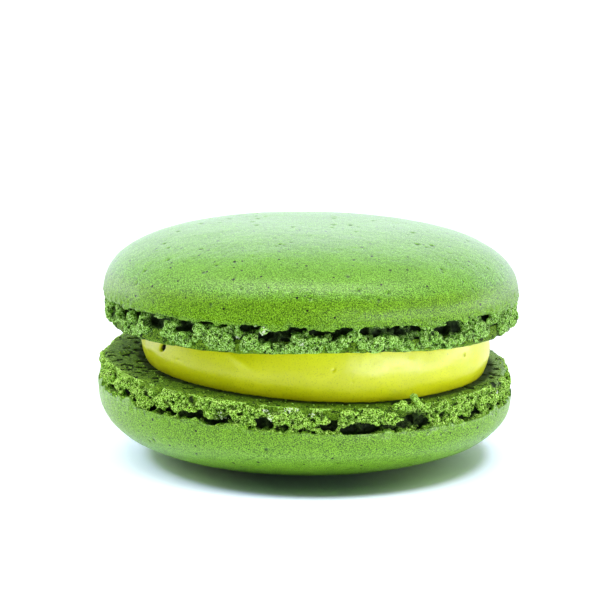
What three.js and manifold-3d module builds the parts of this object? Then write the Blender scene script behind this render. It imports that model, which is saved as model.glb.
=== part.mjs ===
// A french macaron: two green almond-meringue shells, each a smooth domed cap over a ruffled, spongy
// foot, with a thick layer of yellow cream between them. The lower shell lies cap down. The three pieces
// lean against each other a little, as hand-filled biscuits do, so the cream is thicker at the front.
//
// Millimetres, +Z up. The biscuit stands on z = 0, and the origin is under the middle of its outline.
// Angles called "at" are in degrees round +Z, measured from the front (-Y) towards the right (+X).

import * as THREE from "three";
import { mergeVertices } from "three/addons/utils/BufferGeometryUtils.js";
import Module from "manifold-3d";

// ---- Driving dimensions ---------------------------------------------------------------------------

const RADIUS = 23.9; // of a cap where it is widest; the foot comes out to the same line
const FACE_RADIUS = 23.3; // of the flat face under the foot, whose edge is rounded

const SKIN_LOBES = 0.26; // how far the cap's torn lower edge wanders up and down
const SKIN_THICKNESS = 0.9; // of the cap's lip where it hangs over the crack
const CRACK_HEIGHT = 0.6; // usual height of the crack between the foot and the cap
const CRACK_WANDER = 0.45; // how much the crack widens and closes
const NECK_DEPTH = 2.1; // how far in the crack reaches
const NECK_RISE = 1.2; // how far the foot's neck goes up into the cap
const UNDERSIDE_RISE = 0.4; // of the cap's underside above the top of the foot

const CRUMBS_AROUND = 200; // rounded crumbs that make up the outside of a foot
const CRUMB_SIZE = [0.4, 1.05]; // their radii
const CRUMB_PUSH = 0.6; // share of its radius that a crumb stands out

const CREAM_RADIUS = 20.1;
const CREAM_CENTRE = [0.75, -0.85];
const CREAM_TUCK = 0.65; // how far the cream's side curves in at its bottom edge
const CREAM_ROLL_OVER = 0.25; // and at its top edge
const CREAM_WAVE = 0.15;
const JOINT_GAP = 0.3; // between the cream and each shell

const DOME_TURNS = [4, 11, 20, 31, 43, 55, 67, 79]; // degrees up a dome at which its section has a point
const CAP_SEGMENTS = 72;
const FOOT_SEGMENTS = 128;
const CREAM_SEGMENTS = 64;
const DEGREE = Math.PI / 180;

// ---- The three pieces ------------------------------------------------------------------------------
// A shell's own frame has z = 0 on the flat face of its foot and +Z towards its crown. Its cap's section
// is a superellipse: shoulder says how square it is at the side, and crown how flat it is on top.
// A hollow is a pocket in the foot: up is its middle above the flat face, and wide, tall and deep are
// its full sizes.

const UPPER = {
  name: "upper_shell",
  position: [0.26, -0.07, 15.56],
  pitch: -1.2, // degrees that the front edge hangs low
  roll: 0.4, // degrees that the right side hangs low
  footHeight: 3.05,
  capHeight: 8.3,
  shoulder: 2.77,
  crown: 2.48,
  seed: 11,
  hollows: [
    { at: -78, up: 1.9, wide: 2.2, tall: 1.8, deep: 2.6 },
    { at: -70, up: 2.2, wide: 1.7, tall: 2.0, deep: 3.2 },
    { at: -59, up: 1.9, wide: 1.3, tall: 2.0, deep: 3.0 },
    { at: -50, up: 1.9, wide: 4.6, tall: 1.4, deep: 3.6 },
    { at: -29.5, up: 1.5, wide: 1.7, tall: 1.1, deep: 2.2 },
    { at: -12.5, up: 1.4, wide: 4.2, tall: 1.3, deep: 3.4 },
    { at: 4, up: 2.4, wide: 5.4, tall: 1.5, deep: 3.8 },
    { at: 16, up: 2.4, wide: 2.5, tall: 1.8, deep: 3.2 },
    { at: 26, up: 2.2, wide: 3.8, tall: 1.2, deep: 3.0 },
    { at: 42, up: 2.0, wide: 4.4, tall: 2.1, deep: 4.0 },
    { at: 62, up: 2.2, wide: 3.4, tall: 1.0, deep: 2.6 },
  ],
};

const LOWER = {
  name: "lower_shell",
  position: [-0.19, -0.07, 10.65],
  pitch: 1.7,
  roll: 1.8,
  capDown: true,
  crownLevel: true, // the shell has settled: its crown is level, though its foot leans
  footHeight: 2.55,
  capHeight: 8.35,
  shoulder: 3.0,
  crown: 2.5,
  seed: 29,
  hollows: [
    { at: -75, up: 1.4, wide: 1.9, tall: 1.2, deep: 2.4 },
    { at: -58, up: 2.1, wide: 5.0, tall: 0.9, deep: 2.8 },
    { at: -34, up: 2.1, wide: 5.2, tall: 1.2, deep: 3.4 },
    { at: -9, up: 2.1, wide: 3.6, tall: 1.1, deep: 3.0 },
    { at: 6, up: 2.2, wide: 5.4, tall: 1.0, deep: 3.2 },
    { at: 17, up: 2.1, wide: 3.0, tall: 1.0, deep: 2.8 },
    { at: 32, up: 1.6, wide: 4.8, tall: 2.2, deep: 4.2 },
    { at: 44, up: 1.2, wide: 2.8, tall: 0.8, deep: 2.4 },
    { at: 52, up: 1.9, wide: 3.2, tall: 0.9, deep: 2.6 },
  ],
};

// On the side that faces away, pockets like those follow one another by chance.
const BEHIND = { from: 80, to: 278, count: 11, up: [1.2, 2.3], wide: [1.8, 5], tall: [0.9, 1.9], deep: [2.4, 3.8] };

const HOLLOW_RAGGED = [0.78, 1.16]; // a pocket's walls lie nearer or farther than an ellipsoid's, by this much

// A chip of crust that stands on the lower foot's edge, over its largest pocket.
const CHIP = { at: 31.5, radius: 22.7, up: -0.15, wide: 1.2, deep: 0.7, tall: 2.3 };

// A small pit in the cream's side; share is how far up it lies between the two shells.
const CREAM_PIT = { at: -63, share: 0.6, wide: 0.9, deep: 1.0, tall: 1.5 };

// ---- Repeatable chance and ripples -------------------------------------------------------------------

function randomStream(seed) {
  let state = seed >>> 0;
  return () => {
    state = (Math.imul(state, 1664525) + 1013904223) >>> 0;
    return state / 4294967296;
  };
}

const between = (random, [low, high]) => low + (high - low) * random();

// A smooth wavy function of the angle, from about -1 to 1, that closes on itself after a full turn.
function ripple(seed, counts) {
  const random = randomStream(seed);
  const phases = counts.map(() => 2 * Math.PI * random());
  return (angle) =>
    counts.reduce((sum, count, i) => sum + Math.sin(count * angle + phases[i]), 0) / Math.sqrt(counts.length);
}

// The shorter way round from one angle to another, in radians.
const turnBetween = (a, b) => Math.atan2(Math.sin(a - b), Math.cos(a - b));

// ---- Solids from sections ------------------------------------------------------------------------------

// A closed body like a lathe's, except that its section [[radius, height], ...] may change with the angle.
function sweptRound(section, segments) {
  const start = section(0).map(([radius, height]) => new THREE.Vector2(radius, height));
  const geometry = new THREE.LatheGeometry(start, segments);
  const position = geometry.getAttribute("position");
  for (let i = 0; i <= segments; i++) {
    const angle = (2 * Math.PI * (i % segments)) / segments;
    section(angle).forEach(([radius, height], j) =>
      position.setXYZ(i * start.length + j, radius * Math.cos(angle), radius * Math.sin(angle), height),
    );
  }
  return geometry;
}

// The same surface with its shared vertices merged, and nothing but positions left.
const merge = (geometry) => mergeVertices(geometry.deleteAttribute("normal").deleteAttribute("uv"), 1e-4);

const wasm = await Module();
wasm.setup();

function toSolid(geometry) {
  const merged = merge(geometry);
  return new wasm.Manifold(
    new wasm.Mesh({
      numProp: 3,
      vertProperties: merged.getAttribute("position").array,
      triVerts: new Uint32Array(merged.index.array),
    }),
  );
}

function toGeometry(solid) {
  const mesh = solid.getMesh();
  return new THREE.BufferGeometry()
    .setAttribute("position", new THREE.BufferAttribute(mesh.vertProperties, 3))
    .setIndex(new THREE.BufferAttribute(mesh.triVerts, 1));
}

// The largest piece: cutting pockets can free small scraps.
const withoutScraps = (solid) =>
  solid.decompose().reduce((largest, piece) => (piece.volume() > largest.volume() ? piece : largest));

// Scales a body of size 1 to its full sizes, along a rim, into it and up, and puts it at that rim.
function placedAtRim(geometry, { wide, deep, tall }, radius, angle, height) {
  return geometry
    .scale(deep, wide, tall)
    .rotateZ(angle)
    .translate(radius * Math.cos(angle), radius * Math.sin(angle), height);
}

// ---- Shells ----------------------------------------------------------------------------------------------

// Turns an angle "at" into the shell's own frame, where a shell that lies cap down is turned over.
const ownAngle = (at, capDown) => (capDown ? 90 - at : at - 90) * DEGREE;

// How much a crown that has settled level takes off the shell's height at a point on the cap.
function settling(shell, angle, radius, rise) {
  const { roll, pitch, capHeight, crownLevel } = shell;
  const slope = Math.tan(roll * DEGREE) * Math.cos(angle) + Math.tan(pitch * DEGREE) * Math.sin(angle);
  return crownLevel ? (slope * radius * rise) / capHeight : 0;
}

// The cap: its lower edge is torn in lobes, and its underside runs in to the neck.
function capGeometry(shell, skinEdge) {
  const { footHeight, capHeight, shoulder, crown } = shell;
  const underside = footHeight + UNDERSIDE_RISE;
  const dome = DOME_TURNS.map((turn) => [
    RADIUS * Math.cos(turn * DEGREE) ** (2 / shoulder),
    capHeight * Math.sin(turn * DEGREE) ** (2 / crown),
  ]);
  return sweptRound((angle) => [
    [0, underside],
    [RADIUS - NECK_DEPTH - 0.8, underside],
    [RADIUS - SKIN_THICKNESS, skinEdge(angle) + 0.12],
    [RADIUS - 0.18, skinEdge(angle)],
    ...dome.map(([radius, rise]) => [radius, footHeight + rise - settling(shell, angle, radius, rise)]),
    [0, footHeight + capHeight],
  ], CAP_SEGMENTS);
}

function crumbsOf(shell) {
  const random = randomStream(shell.seed);
  return Array.from({ length: CRUMBS_AROUND }, (_, i) => ({
    angle: (2 * Math.PI * (i + random())) / CRUMBS_AROUND,
    up: between(random, [0.4, shell.footHeight - 0.5]),
    size: between(random, CRUMB_SIZE),
  }));
}

// How far the rounded crumbs push the foot's side out at a point on it.
function crumbPush(crumbs, angle, height) {
  return crumbs.reduce((push, crumb) => {
    const along = RADIUS * turnBetween(angle, crumb.angle);
    const inside = crumb.size ** 2 - along ** 2 - (height - crumb.up) ** 2;
    return inside > 0 ? Math.max(push, CRUMB_PUSH * Math.sqrt(inside)) : push;
  }, 0);
}

// The foot: a crumbly band with a flat face below, and a neck inside it that reaches up into the cap.
function footGeometry(shell, skinEdge, crumbs) {
  const crack = ripple(shell.seed + 3, [9, 14, 23, 37]);
  const core = RADIUS - 0.5;
  const neck = RADIUS - NECK_DEPTH;
  const neckTop = shell.footHeight + NECK_RISE;
  return sweptRound((angle) => {
    const top = skinEdge(angle) - CRACK_HEIGHT - CRACK_WANDER * crack(angle);
    const side = (height, inset) => [core - inset + crumbPush(crumbs, angle, height), height];
    return [
      [0, 0],
      [FACE_RADIUS - 0.6, 0],
      side(0.24, 0.4),
      side(0.26 * top + 0.25, 0.05),
      side(0.5 * top + 0.15, 0),
      side(0.78 * top, 0.1),
      side(top, 0.55),
      [neck, top + 0.15],
      [neck - 0.2, neckTop],
      [0, neckTop],
    ];
  }, FOOT_SEGMENTS);
}

function hollowsOf(shell) {
  const random = randomStream(shell.seed + 7);
  const step = (BEHIND.to - BEHIND.from) / BEHIND.count;
  const behind = Array.from({ length: BEHIND.count }, (_, i) => ({
    at: BEHIND.from + step * (i + 0.2 + 0.6 * random()),
    up: between(random, BEHIND.up),
    wide: between(random, BEHIND.wide),
    tall: between(random, BEHIND.tall),
    deep: between(random, BEHIND.deep),
  }));
  return [...shell.hollows, ...behind];
}

// An ellipsoid whose walls are pushed in and out.
function raggedPocket(size, angle, height, random) {
  const geometry = merge(new THREE.IcosahedronGeometry(0.5, 1));
  const position = geometry.getAttribute("position");
  for (let i = 0; i < position.count; i++) {
    const reach = between(random, HOLLOW_RAGGED);
    position.setXYZ(i, position.getX(i) * reach, position.getY(i) * reach, position.getZ(i) * reach);
  }
  return placedAtRim(geometry, size, RADIUS - 0.2, angle, height);
}

function shellSolid(shell) {
  const lobes = ripple(shell.seed + 1, [5, 11, 18, 27]);
  const skinEdge = (angle) => shell.footHeight + SKIN_LOBES * lobes(angle);
  const random = randomStream(shell.seed + 9);
  let solid = toSolid(capGeometry(shell, skinEdge)).add(toSolid(footGeometry(shell, skinEdge, crumbsOf(shell))));
  for (const hollow of hollowsOf(shell)) {
    const pocket = raggedPocket(hollow, ownAngle(hollow.at, shell.capDown), hollow.up, random);
    solid = solid.subtract(toSolid(pocket));
  }
  return withoutScraps(solid);
}

const chipSolid = () =>
  toSolid(placedAtRim(new THREE.IcosahedronGeometry(0.5, 0), CHIP, CHIP.radius, ownAngle(CHIP.at, true), CHIP.up));

// ---- Placing ---------------------------------------------------------------------------------------------

// A group that holds a shell's own frame: turned over if it lies cap down, then tilted and moved.
function shellFrame(shell) {
  const tilted = new THREE.Group();
  tilted.position.set(...shell.position);
  tilted.rotation.set(shell.pitch * DEGREE, shell.roll * DEGREE, 0);
  const turned = new THREE.Group();
  turned.rotation.x = shell.capDown ? Math.PI : 0;
  tilted.add(turned);
  tilted.updateMatrixWorld(true);
  return { tilted, turned };
}

// The table's top, as a block in a shell's own frame: it flattens the crown that the biscuit rests on.
function tableIn(frame) {
  const thick = 4;
  return toSolid(
    new THREE.BoxGeometry(4 * RADIUS, 4 * RADIUS, thick)
      .translate(0, 0, -thick / 2)
      .applyMatrix4(frame.matrixWorld.clone().invert()),
  );
}

// Height at (x, y) of the plane of a shell's flat face.
function flatFaceHeight(shell, x, y) {
  const normal = new THREE.Vector3(0, 0, 1).applyEuler(
    new THREE.Euler(shell.pitch * DEGREE, shell.roll * DEGREE, 0),
  );
  const [x0, y0, z0] = shell.position;
  return z0 - (normal.x * (x - x0) + normal.y * (y - y0)) / normal.z;
}

// ---- Cream -------------------------------------------------------------------------------------------------

// A round layer that fills the wedge between the flat faces. Its side bulges, and tucks in at the bottom.
function creamSolid() {
  const wave = ripple(5, [2, 3, 5, 8]);
  const shares = [0, 0.1, 0.24, 0.42, 0.64, 0.85, 1]; // of the way up the side
  const inset = (share) =>
    CREAM_TUCK * Math.max(0, 1 - share / 0.62) ** 2.2 + CREAM_ROLL_OVER * Math.max(0, (share - 0.7) / 0.3) ** 2;
  const geometry = sweptRound((angle) => {
    const rim = CREAM_RADIUS + CREAM_WAVE * wave(angle);
    return [[0, 0], ...shares.map((share) => [rim - inset(share), share]), [0, 1]];
  }, CREAM_SEGMENTS);
  const [centreX, centreY] = CREAM_CENTRE;
  const position = geometry.getAttribute("position");
  for (let i = 0; i < position.count; i++) {
    const [x, y] = [position.getX(i) + centreX, position.getY(i) + centreY];
    const floor = flatFaceHeight(LOWER, x, y) + JOINT_GAP;
    const roof = flatFaceHeight(UPPER, x, y) - JOINT_GAP;
    position.setXYZ(i, x, y, floor + (roof - floor) * position.getZ(i));
  }
  const pitHeight = UPPER.position[2] * CREAM_PIT.share + LOWER.position[2] * (1 - CREAM_PIT.share);
  const pit = placedAtRim(
    new THREE.IcosahedronGeometry(0.5, 1), CREAM_PIT, CREAM_RADIUS, ownAngle(CREAM_PIT.at, false), pitHeight,
  ).translate(centreX, centreY, 0);
  return toSolid(geometry).subtract(toSolid(pit));
}

// ---- The biscuit -----------------------------------------------------------------------------------------

const meringue = new THREE.MeshStandardMaterial({ color: 0x7fae4a, roughness: 0.8, metalness: 0 });
const cream = new THREE.MeshStandardMaterial({ color: 0xd2dc3c, roughness: 0.45, metalness: 0 });

function piece(name, solid, material) {
  const mesh = new THREE.Mesh(toGeometry(solid), material);
  mesh.name = name;
  return mesh;
}

const macaron = new THREE.Group();

const upperFrame = shellFrame(UPPER);
upperFrame.turned.add(piece(UPPER.name, shellSolid(UPPER), meringue));

const lowerFrame = shellFrame(LOWER);
const lowerSolid = withoutScraps(shellSolid(LOWER).add(chipSolid()).subtract(tableIn(lowerFrame.turned)));
lowerFrame.turned.add(piece(LOWER.name, lowerSolid, meringue));

macaron.add(upperFrame.tilted, lowerFrame.tilted, piece("filling", creamSolid(), cream));

export default macaron;
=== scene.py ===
"""A french macaron's looks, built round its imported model: smooth speckled caps, crumbly feet and cream.

Shapes are worked out in millimetres, and turned to metres when a mesh is made. A shell's own frame has
z = 0 on the flat face of its foot and +Z towards its crown, as in the part's source.
"""

import itertools
import math
from dataclasses import dataclass

import bpy
import numpy as np
from mathutils import Matrix


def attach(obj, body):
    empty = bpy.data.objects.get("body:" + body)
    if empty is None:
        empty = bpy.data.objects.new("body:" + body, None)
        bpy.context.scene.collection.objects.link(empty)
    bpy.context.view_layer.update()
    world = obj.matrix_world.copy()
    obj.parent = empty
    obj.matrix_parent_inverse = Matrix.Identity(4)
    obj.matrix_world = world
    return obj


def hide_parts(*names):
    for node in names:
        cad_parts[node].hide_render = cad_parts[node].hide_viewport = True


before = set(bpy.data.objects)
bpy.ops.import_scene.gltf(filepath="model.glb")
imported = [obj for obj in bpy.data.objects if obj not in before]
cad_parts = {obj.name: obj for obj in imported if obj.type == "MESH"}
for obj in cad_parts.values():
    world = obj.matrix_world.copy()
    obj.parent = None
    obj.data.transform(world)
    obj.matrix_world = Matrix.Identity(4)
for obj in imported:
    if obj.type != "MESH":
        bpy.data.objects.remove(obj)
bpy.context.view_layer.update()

MM = 0.001

# ---- Sizes that the solids have too, or nearly ----

RADIUS = 23.9  # of a cap where it is widest
SKIN_LOBES = 0.26  # how far the cap's torn edge wanders up and down
CRACK_HEIGHT, CRACK_WANDER = 0.6, 0.45
CRUMBS_AROUND = 200  # lumps round a foot
CRUMB_SIZE = (0.4, 1.05)

CREAM_RADIUS = 20.1
CREAM_CENTRE = (0.95, -0.85)
CREAM_TUCK, CREAM_ROLL_OVER = 0.65, 0.45  # how far its side turns in at the bottom and at the top
CREAM_WAVE = 0.15


@dataclass
class Shell:
    """One shell. Places on it start with degrees from the front towards the right, and "up" is above its
    flat face."""

    name: str
    position: tuple
    pitch: float  # degrees that the front hangs low
    roll: float  # and the right side
    cap_down: bool
    seed: int
    foot_height: float
    cap_height: float
    shoulder: float  # how square the cap's section is at the side
    crown: float  # and how flat on top
    hollows: tuple  # pockets in the foot: (degrees, up, wide, tall, deep)
    lobes: tuple  # where the cap's edge hangs over the crack: (degrees, drop, wide)
    knobs: tuple  # crumbs that stand out: (degrees, radius, up, size)
    specks: tuple  # clusters of almond: (degrees, up)
    lip: tuple  # (degrees, how far the foot's rim stands past its flat face)


UPPER = Shell(
    name="upper", position=(0.36, -0.07, 15.56), pitch=-1.2, roll=0.4, cap_down=False, seed=11,
    foot_height=3.05, cap_height=8.3, shoulder=2.77, crown=2.48,
    hollows=(
        (-73, 1.7, 3.2, 1.9, 2.8), (-64, 2.1, 2.6, 2.2, 3.2), (-56.3, 2.4, 2.3, 1.8, 3.0),
        (-47, 1.85, 4.6, 1.6, 3.4), (-38, 1.75, 2.2, 0.9, 2.4), (-32, 3.0, 3.2, 0.6, 2.2), (-24, 2.8, 2.8, 0.8, 2.4),
        (-17.5, 2.5, 1.8, 1.0, 2.6), (-9.5, 1.75, 4.4, 1.3, 3.4), (-4, 2.6, 2.6, 0.9, 2.6), (4, 2.65, 5.2, 1.4, 3.8),
        (15.3, 2.4, 2.7, 1.8, 3.2), (25.5, 2.2, 5.4, 1.1, 3.0), (40.3, 1.95, 4.3, 2.1, 4.0),
        (56, 2.6, 3.6, 0.9, 2.6), (66, 2.4, 2.2, 1.0, 2.4),
    ),
    lobes=((-7, 0.45, 2.6), (12, 0.55, 1.3), (33, 0.5, 2.2)),
    knobs=((-12.3, 23.6, 2.5, 0.5),),
    specks=((-20, 1.5), (-15, 3.1), (-12.3, 2.5), (-12.8, 2.3), (-11.7, 2.6), (-16.8, 1.3), (-2.5, 1.1)),
    lip=((-120, 0.5), (-90, 0.48), (-60, 0.32), (-22, 0.3), (-8, 0.12), (4, -0.12), (18, -0.12), (40, 0.2),
         (90, 0.28), (170, 0.45)),
)

LOWER = Shell(
    name="lower", position=(-0.19, -0.07, 10.65), pitch=1.7, roll=1.8, cap_down=True, seed=29,
    foot_height=2.55, cap_height=8.35, shoulder=3.0, crown=2.5,
    hollows=(
        (-68, 2.0, 4.2, 0.8, 2.4), (-44, 2.4, 1.7, 0.9, 2.2), (-33, 2.05, 3.6, 1.0, 3.0),
        (-27.7, 2.25, 1.8, 0.7, 2.4), (-22, 2.3, 1.4, 0.7, 2.2), (-10.5, 1.8, 2.4, 1.3, 3.0),
        (-5.7, 2.1, 1.8, 0.6, 2.4), (5.5, 1.85, 3.8, 1.0, 3.2), (10, 2.2, 1.2, 0.7, 2.4),
        (15.3, 1.95, 3.6, 1.1, 2.8), (22.3, 2.0, 1.5, 0.7, 2.4), (30.3, 1.4, 4.7, 2.5, 4.2),
        (31.9, 0.5, 2.4, 1.9, 3.2), (41.5, 1.3, 2.6, 1.0, 1.4), (53.5, 2.0, 1.8, 0.8, 1.8), (61, 1.8, 1.4, 1.1, 1.6),
    ),
    lobes=(),
    knobs=((27.0, 23.4, -0.3, 0.5), (25.2, 23.3, -0.15, 0.4)),
    specks=((-10.8, 0.2), (-10.2, 0.5), (-9.4, 0.8), (-9, 1.1), (-5.3, 0.15), (-4, 0.1), (-2, 0.0), (-24.3, 1.3),
            (-23.6, 1.6), (-22.8, 1.9), (-24, 1.9), (1.8, 0.45)),
    lip=((-150, 0.55), (-100, 0.52), (-60, 0.32), (-20, 0.28), (0, 0.15), (30, 0.16), (50, 0.26), (90, 0.42),
         (150, 0.55)),
)

# On the side that faces away, pockets follow one another by chance: ranges of up, wide, tall and deep.
BEHIND_FROM, BEHIND_TO, BEHIND_COUNT = 80, 278, 11
BEHIND_SIZES = ((1.2, 2.3), (1.8, 5), (0.9, 1.9), (2.4, 3.8))

# ---- Finer shapes than the solids have ----

VOXEL = 0.155  # step of the grid that the crumb is worked out on
GRID_INNER, GRID_OUTER = 20.8, 24.9  # radii between which that grid lies
FOOT_INSET = 0.85  # how far the foot's side lies inside the cap's rim, before its lumps
LUMP_INSET = 0.6  # and the middles of its lumps
LUMP_PUSH = 0.6  # how round the lumps are seen from above
NECK_INSET = 1.8  # how far the crack reaches in
SKIN = 0.15  # how far the crumb lies behind the cap's skin
RIM_INNER = 22.6  # radius at which the crumb gives way to the smooth flat face
# Bubbles (1) in the crumb and grains (-1) on it: (how many, smallest, largest, which).
GRAINS_AND_BUBBLES = ((220, 0.2, 0.4, 1), (1500, 0.12, 0.24, -1), (3000, 0.1, 0.18, 1))
FLAKE_AT, FLAKE_RADIUS, FLAKE_UP = 31.2, 23.5, -0.65
FLAKE_SIZE = (0.3, 0.4, 0.95)  # half sizes of the chip of crust: thick, deep and long
FLAKE_LEAN = 42  # degrees that its top leans to the left

CAP_RINGS = 165
CAP_TORN = 0.962  # share of the way down a cap from which its edge is torn
CAP_PITS = 240
# How a cap's edge turns in: (share of the way down to its torn line, how far in).
LIP_ROWS = ((0.25, 0.01), (0.5, 0.03), (0.72, 0.06), (0.88, 0.1), (1.0, 0.17), (1.0, 0.3), (0.8, 0.42))
UNDERSIDE = 0.9  # how far in and up a cap's underside starts

FACE_AROUND = 1000
FACE_EDGE = 23.15  # mean radius at which the flat face frays out over the crumb
LIP_FROM, LIP_TO = 14, 19.5  # radii between which the flat face rises to its rim
PLAIN_AT = 8  # where the flat faces are smoothest, in degrees from the front towards the right

# ---- Repeatable chance ----


def random_stream(seed):
    """Draws from 0 to 1, the same ones as the part's source makes."""
    state = seed

    def draw():
        nonlocal state
        state = (state * 1664525 + 1013904223) % 2**32
        return state / 2**32

    return draw


def between(draw, limits):
    return limits[0] + (limits[1] - limits[0]) * draw()


def ripple(seed, counts):
    """A wavy function of the angle, from about -1 to 1, that closes on itself."""
    draw = random_stream(seed)
    phases = [2 * math.pi * draw() for _ in counts]
    return lambda angle: sum(np.sin(n * angle + p) for n, p in zip(counts, phases)) / math.sqrt(len(counts))


LATTICE_SIDE = 48
LATTICE = np.random.default_rng(7).uniform(-1, 1, (LATTICE_SIDE,) * 3).astype(np.float32)
CORNERS = list(itertools.product((0, 1), repeat=3))


def noise(points, size, salt=0):
    """Smooth chance from -1 to 1 at points, with features about `size` wide."""
    cells = points / np.float32(size) + np.float32(1000 + 13.7 * salt)
    low = np.floor(cells).astype(np.int32)
    part = (cells - low).astype(np.float32)
    part = part * part * (3 - 2 * part)
    low %= LATTICE_SIDE
    high = (low + 1) % LATTICE_SIDE
    total = 0
    for corner in CORNERS:
        picked = [high[..., a] if corner[a] else low[..., a] for a in range(3)]
        weight = np.prod([part[..., a] if corner[a] else 1 - part[..., a] for a in range(3)], axis=0)
        total = total + weight * LATTICE[tuple(picked)]
    return total


def layered(points, salt, *layers):
    """A sum of noises, each with (how strong it is, how wide its features are)."""
    return sum(strength * noise(points, size, salt + i) for i, (strength, size) in enumerate(layers))


def full_turn(count):
    return np.arange(count) * (2 * math.pi / count)


def on_ring(angle, radius=RADIUS, height=0.0):
    """Points at angles, radii and heights."""
    return np.stack([radius * np.cos(angle), radius * np.sin(angle), np.full_like(angle, height)], -1)


def smooth_step(low, high, x):
    t = np.clip((x - low) / (high - low), 0, 1)
    return t * t * (3 - 2 * t)


def smooth_min(a, b, k):
    h = np.clip(0.5 + 0.5 * (b - a) / k, 0, 1)
    return b * (1 - h) + a * h - k * h * (1 - h)


def smooth_max(a, b, k):
    return -smooth_min(-a, -b, k)


# ---- Frames ----


def own_angle(shell, at):
    """The angle in the shell's own frame of a place `at` degrees from the front towards the right."""
    return math.radians(90 - at if shell.cap_down else at - 90)


def shell_turn(shell, with_turnover=True):
    turn = Matrix.Rotation(math.radians(shell.pitch), 3, "X") @ Matrix.Rotation(math.radians(shell.roll), 3, "Y")
    if with_turnover and shell.cap_down:
        turn = turn @ Matrix.Rotation(math.pi, 3, "X")
    return np.array(turn)


def to_world(shell, points):
    return points @ shell_turn(shell).T + shell.position


def at_of(shell, angle):
    """Degrees from the front towards the right, of angles in the shell's own frame."""
    return 90 - np.degrees(angle) if shell.cap_down else np.degrees(angle) + 90


def along_rim(shell, angle, at):
    """How far along the rim angles in the own frame lie from a place `at` degrees."""
    return RADIUS * np.angle(np.exp(1j * (angle - own_angle(shell, at))))


def lip_height(shell, angle):
    """How far the rim stands past the flat face at angles in the shell's own frame."""
    at, height = zip(*shell.lip)
    return np.interp(at_of(shell, angle), at, height, period=360)


def ledge_height(shell, x, y):
    """Height of the shell's flat face over (x, y) with its raised rim."""
    normal = shell_turn(shell, with_turnover=False)[:, 2]
    x0, y0, z0 = shell.position
    plane = z0 - (normal[0] * (x - x0) + normal[1] * (y - y0)) / normal[2]
    angle = np.arctan2(-y if shell.cap_down else y, x)
    rise = lip_height(shell, angle) * smooth_step(LIP_FROM, LIP_TO, np.hypot(x, y))
    return plane + (rise if shell.cap_down else -rise)


# ---- Meshes ----


def add_object(name, data):
    made = bpy.data.objects.new(name, data)
    bpy.context.scene.collection.objects.link(made)
    return made


def make_piece(name, points, faces, polygons=(), attributes=None, smooth=True):
    """A mesh piece from points in millimetres, its triangles or quads as an array, and any larger polygons
    as lists. It rides on the one body."""
    corners = np.concatenate([faces.ravel(), *polygons]).astype(np.int32)
    totals = np.array([faces.shape[1]] * len(faces) + [len(p) for p in polygons], np.int32)
    starts = np.cumsum(totals, dtype=np.int32) - totals
    mesh = bpy.data.meshes.new(name)
    mesh.vertices.add(len(points))
    mesh.vertices.foreach_set("co", (np.asarray(points) * MM).astype(np.float32).ravel())
    mesh.loops.add(len(corners))
    mesh.loops.foreach_set("vertex_index", corners)
    mesh.polygons.add(len(totals))
    mesh.polygons.foreach_set("loop_start", starts)
    mesh.polygons.foreach_set("loop_total", totals)
    mesh.update(calc_edges=True)
    mesh.validate()
    mesh.polygons.foreach_set("use_smooth", np.full(len(mesh.polygons), smooth))
    for key, values in (attributes or {}).items():
        layer = mesh.attributes.new(key, "FLOAT", "POINT")
        layer.data.foreach_set("value", np.asarray(values, np.float32))
    piece = add_object(name, mesh)
    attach(piece, "root")
    return piece


def ring_quads(rows, around, first=0):
    """Quads between successive closed rows of `around` points each."""
    i = np.arange(rows - 1)[:, None] * around + first
    j = np.arange(around)[None, :]
    k = (j + 1) % around
    return np.stack([i + j, i + k, i + around + k, i + around + j], -1).reshape(-1, 4)


# ---- Caps ----


def dome_section(shell):
    """(radius, rise) of each ring, at even steps along a dome's section from the crown to the rim."""
    turn = np.linspace(math.pi / 2, 0, 4000)
    radius = RADIUS * np.abs(np.cos(turn)) ** (2 / shell.shoulder)
    rise = shell.cap_height * np.abs(np.sin(turn)) ** (2 / shell.crown)
    length = np.concatenate([[0], np.cumsum(np.hypot(np.diff(radius), np.diff(rise)))])
    steps = np.linspace(0, length[-1], CAP_RINGS + 1)
    return np.interp(steps, length, radius), np.interp(steps, length, rise)


def skin_edge(shell, angle):
    """Height of the cap's torn edge, in the shell's own frame."""
    ring = on_ring(angle)
    edge = shell.foot_height + SKIN_LOBES * ripple(shell.seed + 1, (5, 11, 18, 27))(angle)
    for at, drop, wide in shell.lobes:
        edge = edge - drop * np.exp(-((2 * along_rim(shell, angle, at) / wide) ** 2))
    return edge + layered(ring, shell.seed, (0.42, 1.3), (0.34, 0.6)) + 0.14 * noise(ring, 0.28, shell.seed + 2)


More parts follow.
